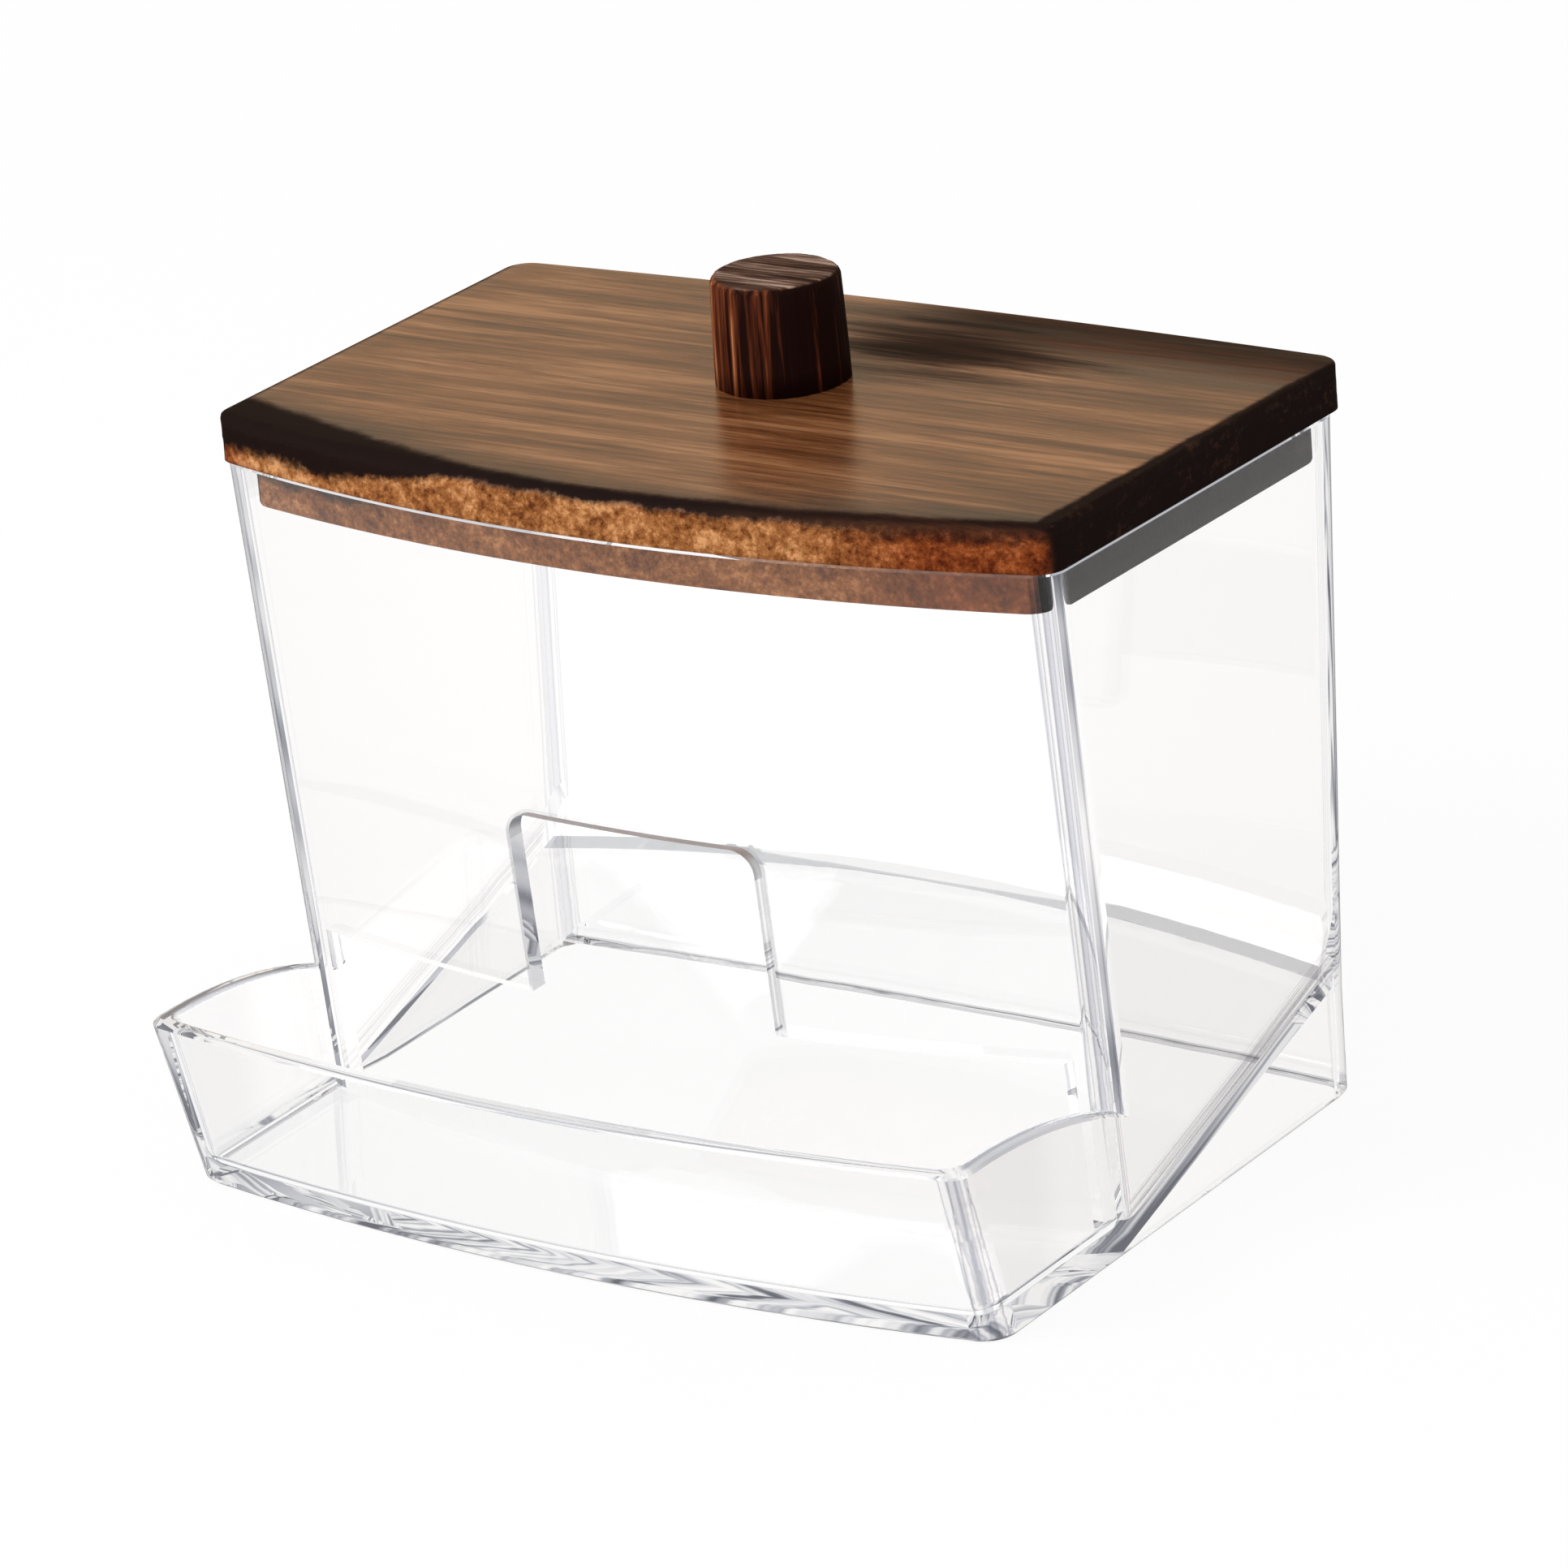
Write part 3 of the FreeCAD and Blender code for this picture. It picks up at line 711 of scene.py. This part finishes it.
def edge_radius(place, way):
    """How far the board's top edge is rounded over: evenly at the back, unevenly in front."""
    front = smooth((-way.y - 0.5) / 0.4)
    worn = EDGE_WORN + 0.5 * relief.noise(Vector((place.x * 0.11, 3.0, 0)))
    worn += 0.3 * relief.noise(Vector((place.x * 0.35, 7.0, 0)))
    worn += SCOOP_DEPTH * math.exp(-((place.x - SCOOP_X) / SCOOP_WIDTH) ** 2)
    return min(EDGE_ROUND + front * worn, FLAT_FROM - 0.2)


def chipped(place, way, z):
    """How far the torched side is worn in at a point."""
    front = smooth((-way.y - 0.4) / 0.5)
    grit = relief.noise(Vector((place.x * 0.9, z * 1.6, 1.0)))
    grit += 0.6 * relief.noise(Vector((place.x * 2.3, z * 3.0, 5.0)))
    return (CHIP_SIDES + CHIP_FRONT * front) * max(grit + 0.35, 0.0)


def stack(rings):
    """Vertices and side faces of rings that all have the same number of points."""
    n = len(rings[0])
    verts = [v for ring in rings for v in ring]
    faces = []
    for k in range(len(rings) - 1):
        for i in range(n):
            j = (i + 1) % n
            faces.append((k * n + i, k * n + j, (k + 1) * n + j, (k + 1) * n + i))
    return verts, faces


def level_cap(first, n, flip):
    """Faces across a ring of n points, in strips between the left and the right half."""
    faces = []
    for k in range(n // 2):
        pair = [first + i % n for i in (k, k + 1, n - k - 1, n - k)]
        face = tuple(dict.fromkeys(pair))
        if len(face) > 2:
            faces.append(face[::-1] if flip else face)
    return faces


def board_part():
    """The lid board as a torched plank: worn sides, uneven rounded top edge."""
    outline = plan(FRONT_Y, FRONT_AXIS, BOARD_GROW, BOARD_CORNER, BOARD_STEP)
    radii = [edge_radius(place, way) for place, way in outline]

    def ring(profile, worn):
        """One ring; profile gives the inset and the height for each radius of the edge."""
        points = []
        for (place, way), radius in zip(outline, radii):
            inset, z = profile(radius)
            spot = place - way * (inset + worn * chipped(place, way, z))
            points.append((spot.x, spot.y, z))
        return points

    rings = []
    for k in range(SIDE_LEVELS):
        t = k / SIDE_LEVELS
        rings.append(ring(lambda r: (0.0, RIM_Z + (TOP_Z - r - RIM_Z) * t), min(1.0, 4 * t)))
    for k in range(ROUND_LEVELS + 1):
        turn = 0.5 * math.pi * k / ROUND_LEVELS
        sink, rise = 1 - math.cos(turn), math.sin(turn)
        rings.append(ring(lambda r: (r * sink, TOP_Z - r + r * rise), 1.0 - k / ROUND_LEVELS))
    rings.append(ring(lambda r: (FLAT_FROM, TOP_Z), 0.0))

    verts, faces = stack(rings)
    n = len(outline)
    faces += level_cap(0, n, True)
    faces += level_cap(len(verts) - n, n, False)
    return verts, faces


def plug_part(first):
    """The rebated plug under the board, with the screw's countersunk bore."""
    outline = plan(PLUG_Y + PLUG_GROW, PLUG_AXIS, PLUG_GROW, PLUG_CORNER, PLUG_STEP)
    levels = [
        (0.0, RIM_Z),
        (0.0, RIM_Z - 3.0),
        (0.0, PLUG_Z + PLUG_EASE),
        (0.3 * PLUG_EASE, PLUG_Z + 0.3 * PLUG_EASE),
        (PLUG_EASE, PLUG_Z),
    ]
    rings = [[(*(place - way * inset), z) for place, way in outline] for inset, z in levels]
    verts, faces = stack(rings)
    faces = [face[::-1] for face in faces]

    turns = [2 * math.pi * k / BORE_POINTS for k in range(BORE_POINTS)]
    holes = [[(radius * math.sin(t), KNOB_Y - radius * math.cos(t), z) for t in turns]
             for radius, z in ((SINK_R, PLUG_Z), (BORE_R, PLUG_Z + SINK_H), (BORE_R, RIM_Z))]
    bore, bore_faces = stack(holes)
    base = len(verts)
    faces += [tuple(base + i for i in face[::-1]) for face in bore_faces]

    # the underside, between the plug's outline and the countersink
    n = len(outline)
    rim = base - n
    for k in range(BORE_POINTS):
        from_point, to_point = (round(n * i / BORE_POINTS) for i in (k, k + 1))
        outer = [rim + i % n for i in range(from_point, to_point + 1)]
        faces.append((base + (k + 1) % BORE_POINTS, *outer[::-1], base + k))
    return verts + bore, [tuple(first + i for i in face) for face in faces]


def mesh_piece(name, verts, faces, mat, slot_name, **numbers):
    """A piece of the lid from points in millimetres; numbers are stored at its points by name."""
    mesh = bpy.data.meshes.new(name)
    mesh.from_pydata([(x * MM, y * MM, z * MM) for x, y, z in verts], [], faces)
    for key, values in numbers.items():
        mesh.attributes.new(key, "FLOAT", "POINT").data.foreach_set("value", values)
    mesh.materials.append(mat)
    for poly in mesh.polygons:
        poly.use_smooth = True
    obj = bpy.data.objects.new(name, mesh)
    bpy.context.scene.collection.objects.link(obj)
    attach(obj, "lid")
    return obj


def make_lid(mat):
    verts, faces = board_part()
    plug_verts, plug_faces = plug_part(len(verts))
    obj = mesh_piece("lid_plank", verts + plug_verts, faces + plug_faces, mat, "burnt_wood")
    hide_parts("lid_board")


def furrowed(way, z):
    """How far the knob is worn in, in one direction and at one height."""
    furrow = relief.noise(Vector((way.x * 7, way.y * 7, z * 0.05)))
    furrow += 0.5 * relief.noise(Vector((way.x * 19, way.y * 19, z * 0.08)))
    lump = relief.noise(Vector((way.x * 1.3, way.y * 1.3, 4.0 + z * 0.03)))
    return FURROW_DEPTH * max(furrow + 0.2, 0.0) + LUMP_DEPTH * max(lump + 0.2, 0.0)


def make_knob(mat):
    """The knob: slightly uneven round, with shallow upright furrows."""
    # radius, height, and how far in from the crest of the edge, negative on the flank
    profile = [
        (KNOB_R0, 0.0, -9.0),
        (8.22, 3.0, -9.0),
        (8.12, 6.5, -9.0),
        (8.0, 10.0, -3.0),
        (KNOB_R1, KNOB_HEIGHT - 0.7, -0.9),
        (KNOB_R1 - 0.2, KNOB_HEIGHT - 0.25, -0.4),
        (KNOB_R1 - 0.65, KNOB_HEIGHT, 0.3),
        (6.0, KNOB_HEIGHT, 1.5),
        (3.0, KNOB_HEIGHT, 4.0),
    ]
    turns = [2 * math.pi * k / KNOB_POINTS for k in range(KNOB_POINTS)]
    ways = [Vector((math.sin(t), -math.cos(t), 0)) for t in turns]
    rings = []
    for radius, z, crest in profile:
        share = min(radius / KNOB_R1, 1.0)
        spots = [way * (radius - share * furrowed(way, z)) for way in ways]
        rings.append([(spot.x, KNOB_Y + spot.y, TOP_Z + z) for spot in spots])
    verts, faces = stack(rings)
    faces.append(tuple(range(len(verts) - KNOB_POINTS, len(verts))))
    faces.append(tuple(range(KNOB_POINTS - 1, -1, -1)))
    crests = [crest for radius, z, crest in profile for k in range(KNOB_POINTS)]
    obj = mesh_piece("knob_turned", verts, faces, mat, "knob_wood", crest=crests)
    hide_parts("lid_knob")


def dress(node, mat):
    for material_slot in nodes[node].material_slots:
        material_slot.material = mat


# -------------------------------------------------------------------- stage
def make_floor():
    """A pale floor under the box: white to the camera, bright near the box through the plastic."""
    half, low = FLOOR_HALF * MM, FLOOR_Z * MM
    mesh = bpy.data.meshes.new("floor")
    rim = [(-half, -half, low), (half, -half, low), (half, half, low), (-half, half, low)]
    mesh.from_pydata(rim, [], [(0, 1, 2, 3)])
    obj = bpy.data.objects.new("floor", mesh)
    bpy.context.scene.collection.objects.link(obj)
    mat = bpy.data.materials.new("floor")
    mat.use_nodes = True
    tree = mat.node_tree
    tree.nodes.clear()
    out = tree.nodes.new("ShaderNodeOutputMaterial")
    x, y = place_in_mm(tree)[:2]
    paint = tree.nodes.new("ShaderNodeBsdfDiffuse")
    paint.inputs["Color"].default_value = rgba(grey(0.8))
    paint = paint.outputs[0]
    shown = choose(tree, SHOWN_GLOW, paint, glow(tree, "ShaderNodeEmission", SHOWN))
    brightness = span(tree, hypot(tree, x, y), BRIGHT_TO, DIM_FROM, THROUGH, DIM)
    through = choose(tree, THROUGH_GLOW, paint, glow(tree, "ShaderNodeEmission", brightness))
    shader = choose(tree, light_path(tree, "Is Camera Ray"), paint, shown)
    shader = choose(tree, light_path(tree, "Is Glossy Ray"), shader,
                    glow(tree, "ShaderNodeEmission", MIRRORED))
    # a ray through the plastic counts as glossy too, so that choice comes last
    shader = choose(tree, light_path(tree, "Is Transmission Ray"), shader, through)
    tree.links.new(shader, out.inputs["Surface"])
    mesh.materials.append(mat)


def make_world():
    """White to the camera; through the plastic, white behind the box and dimmer above and in front."""
    world = bpy.data.worlds.new("studio")
    bpy.context.scene.world = world
    world.use_nodes = True
    tree = world.node_tree
    tree.nodes.clear()
    out = tree.nodes.new("ShaderNodeOutputWorld")
    y, z = split(tree, "Generated")[1:]
    through = times(tree, span(tree, y, -0.5, 0.25, DIM, THROUGH), span(tree, z, 0.25, 0.75, 1.0, 0.35))
    mirrored = times(tree, span(tree, y, -0.3, 0.3, 0.30, 0.68), span(tree, z, 0.35, 0.8, 1.0, 0.5))
    shader = choose(tree, light_path(tree, "Is Glossy Ray"),
                    glow(tree, "ShaderNodeBackground", AMBIENT),
                    glow(tree, "ShaderNodeBackground", mirrored, WARM))
    shader = choose(tree, light_path(tree, "Is Transmission Ray"), shader,
                    glow(tree, "ShaderNodeBackground", through))
    shader = choose(tree, light_path(tree, "Is Camera Ray"), shader,
                    glow(tree, "ShaderNodeBackground", 1.0))
    tree.links.new(shader, out.inputs["Surface"])


def area_lamp(name, place, size, power):
    """A rectangular lamp, placed in metres, that shines on the box."""
    data = bpy.data.lights.new(name, "AREA")
    data.shape = "RECTANGLE"
    data.size, data.size_y = size
    data.energy = power
    obj = bpy.data.objects.new(name, data)
    obj.location = place
    obj.rotation_mode = "QUATERNION"
    obj.rotation_quaternion = (Vector(LAMP_AIM) - Vector(place)).to_track_quat("-Z", "Y")
    bpy.context.scene.collection.objects.link(obj)


def make_camera():
    azimuth, elevation, roll = (math.radians(v) for v in (CAM_AZ, CAM_EL, CAM_ROLL))
    level = Vector((math.cos(azimuth), math.sin(azimuth), 0))
    back = Vector((math.sin(azimuth) * math.cos(elevation),
                   -math.cos(azimuth) * math.cos(elevation),
                   math.sin(elevation)))
    up = back.cross(level)
    right = level * math.cos(roll) + up * math.sin(roll)
    top = up * math.cos(roll) - level * math.sin(roll)
    data = bpy.data.cameras.new("camera")
    data.sensor_width = CAM_SENSOR
    data.lens = CAM_LENS
    data.clip_start, data.clip_end = 0.01, 20.0
    cam = bpy.data.objects.new("camera", data)
    bpy.context.scene.collection.objects.link(cam)
    place = CAM_TARGET + back * CAM_DIST + right * CAM_SHIFT[0] + top * CAM_SHIFT[1]
    turn = Matrix((right, top, back)).transposed()
    cam.matrix_world = Matrix.Translation(place) @ turn.to_4x4()
    bpy.context.scene.camera = cam


dress("clear_body", clear_plastic())
dress("knob_screw", screw_steel())
make_lid(burnt_wood())
make_knob(knob_wood())
make_floor()
make_world()
area_lamp("key", (-0.6, -0.9, 0.9), (0.9, 0.7), 10.0)
area_lamp("fill", (0.5, -1.0, 0.3), (0.7, 0.7), 2.0)
make_camera()
bpy.context.scene.view_settings.view_transform = "Standard"
